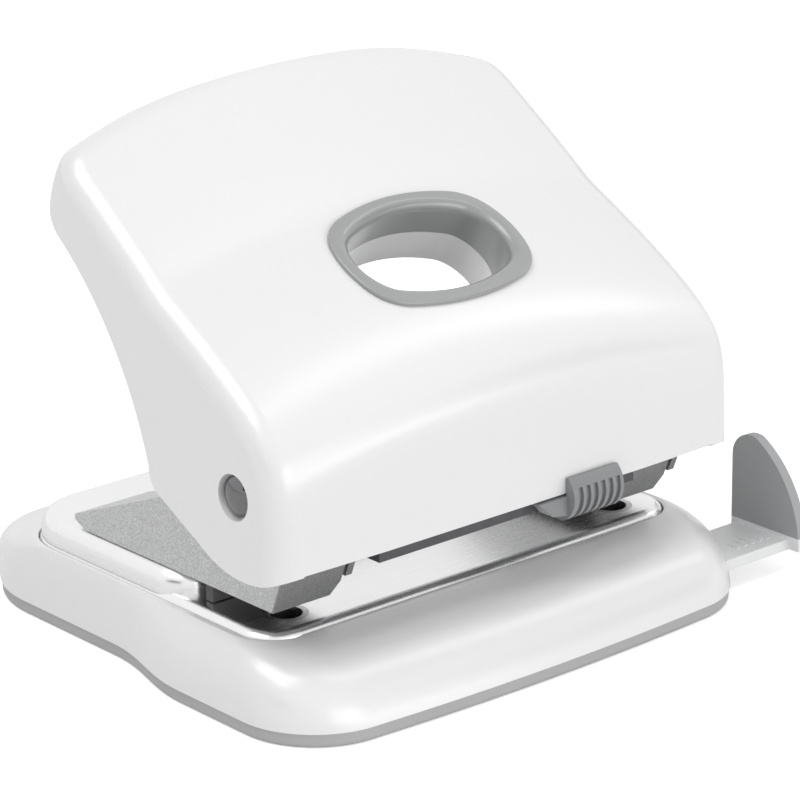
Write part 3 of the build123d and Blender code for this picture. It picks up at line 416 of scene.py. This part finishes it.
def makeSpring(side, setting, finish):
    low, high = [Vector(corner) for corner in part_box("return_spring_" + side)]
    height = high.z - low.z
    wireRadius = setting["wire"] / 2
    coilRadius = (high.x - low.x) / 2 - wireRadius
    steps = setting["turns"] * setting["stepsPerTurn"]
    rise = (height - setting["wire"]) / steps
    form = bmesh.new()
    bmesh.ops.create_circle(form, segments=setting["wireSides"], radius=wireRadius)
    bmesh.ops.rotate(form, matrix=Matrix.Rotation(pi / 2, 3, "X"), verts=form.verts)
    bmesh.ops.translate(form, vec=(coilRadius, 0, 0), verts=form.verts)
    bmesh.ops.spin(form, geom=form.verts[:] + form.edges[:], axis=(0, 0, 1), dvec=(0, 0, rise),
                   angle=2 * pi * setting["turns"], steps=steps)
    bmesh.ops.holes_fill(form, edges=[edge for edge in form.edges if edge.is_boundary])
    bmesh.ops.recalc_face_normals(form, faces=form.faces)
    foot = ((low.x + high.x) / 2, (low.y + high.y) / 2, low.z + wireRadius)
    bmesh.ops.translate(form, vec=foot, verts=form.verts)
    for face in form.faces:
        face.smooth = True
    spring = makeObject("spring_" + side, form, finish)
    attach(spring, "base")
    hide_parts("return_spring_" + side)
    pinTravel = next(joint["range_m"][1] for joint in frame["joints"]
                     if joint["name"] == f"pin_{side}_press")
    1 - pinTravel / height
    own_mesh(spring)


for side in ("left", "right"):
    makeSpring(side, coil, toolSteel)
print("springs wound")


# the glow is seen by the camera only and keeps the floor white far off
floorLook = {
    "halfWidth": 6.0,
    "white": 0.92,
    "roughness": 0.9,
    "glow": 0.45,
}


def makeFloor(look):
    form = bmesh.new()
    bmesh.ops.create_grid(form, x_segments=1, y_segments=1, size=look["halfWidth"])
    white = look["white"]
    finish = Finish("floorWhite", Base_Color=(white, white, white, 1), Roughness=look["roughness"],
                    Specular_IOR_Level=0.0, Emission_Strength=look["glow"])
    toCamera = finish.node("ShaderNodeLightPath", out="Is Camera Ray")
    finish.set("Emission Color", finish.blend(toCamera, (0, 0, 0), (1, 1, 1)))
    makeObject("floor", form, finish)


# the surroundings light the punch softly, and show white to the camera and in shiny surfaces
worldLook = {
    "level": 0.50,
    "shown": 1.0,
}


def makeWorld(look):
    scene.world = bpy.data.worlds.new("studioWorld")
    sheet = NodeSheet(scene.world)
    lighting, backdrop = [
        sheet.node("ShaderNodeBackground", None, {"Color": (1, 1, 1, 1), "Strength": look[part]})
        for part in ("level", "shown")]
    toCamera, toShine = [sheet.node("ShaderNodeLightPath", out=ray)
                         for ray in ("Is Camera Ray", "Is Glossy Ray")]
    seen = toCamera.sum("MAXIMUM", toCamera, toShine)
    mixed = sheet.node("ShaderNodeMixShader", None, {0: seen, 1: lighting, 2: backdrop})
    sheet.feed(sheet.tree.nodes["World Output"].inputs["Surface"], mixed)


# soft lamps, each turned to the punch with its long side across it;
# bandLamp draws the bright band over the handle's bend
lampAim = (0, 0, 0.04)
lamps = {
    "topLamp": {"place": (-0.7, 0.1, 1.5), "size": (1.0, 1.0), "watts": 11.3},
    "frontLamp": {"place": (0.2, -1.5, 0.4), "size": (1.6, 0.7), "watts": 8.8},
    "bandLamp": {"place": (0.75, -0.33, 1.15), "size": (1.3, 0.2), "watts": 1.8},
}


def makeLamp(name, lamp):
    light = bpy.data.lights.new(name, "AREA")
    light.shape = "RECTANGLE"
    light.size, light.size_y = lamp["size"]
    light.energy = lamp["watts"]
    holder = bpy.data.objects.new(name, light)
    scene.collection.objects.link(holder)
    place = Vector(lamp["place"])
    back = (place - Vector(lampAim)).normalized()
    across = (Vector((1, 0, 0)) - back * back.x).normalized()
    turn = Matrix((across, back.cross(across), back)).transposed()
    holder.matrix_world = Matrix.Translation(place) @ turn.to_4x4()


# cards that are seen only in the shine of metal and plastic
darkCards = {
    "leftCard": {"place": (-0.75, -0.15, 0.22), "size": (0.5, 0.16)},
    "rightCard": {"place": (0.9, 0.3, 0.30), "size": (0.4, 0.10)},
    "bendCard": {"place": (0.85, -1.05, 0.50), "size": (0.9, 0.42)},
}


def makeCard(name, card, finish):
    wide, high = card["size"]
    form = bmesh.new()
    bmesh.ops.create_grid(form, x_segments=1, y_segments=1, size=0.5)
    bmesh.ops.scale(form, vec=(wide, high, 1), verts=form.verts)
    outward = Vector((card["place"][0], card["place"][1], 0)).to_track_quat("Z", "Y").to_matrix()
    bmesh.ops.rotate(form, matrix=outward, verts=form.verts)
    bmesh.ops.translate(form, vec=card["place"], verts=form.verts)
    piece = makeObject(name, form, finish)
    piece.visible_camera = False
    piece.visible_diffuse = False
    piece.visible_shadow = False


makeFloor(floorLook)
makeWorld(worldLook)
for name, lamp in lamps.items():
    makeLamp(name, lamp)
cardBlack = Finish("cardBlack", Base_Color=(0.01, 0.01, 0.01, 1), Roughness=1.0,
                   Specular_IOR_Level=0.0)
for name, card in darkCards.items():
    makeCard(name, card, cardBlack)
print("studio lit")
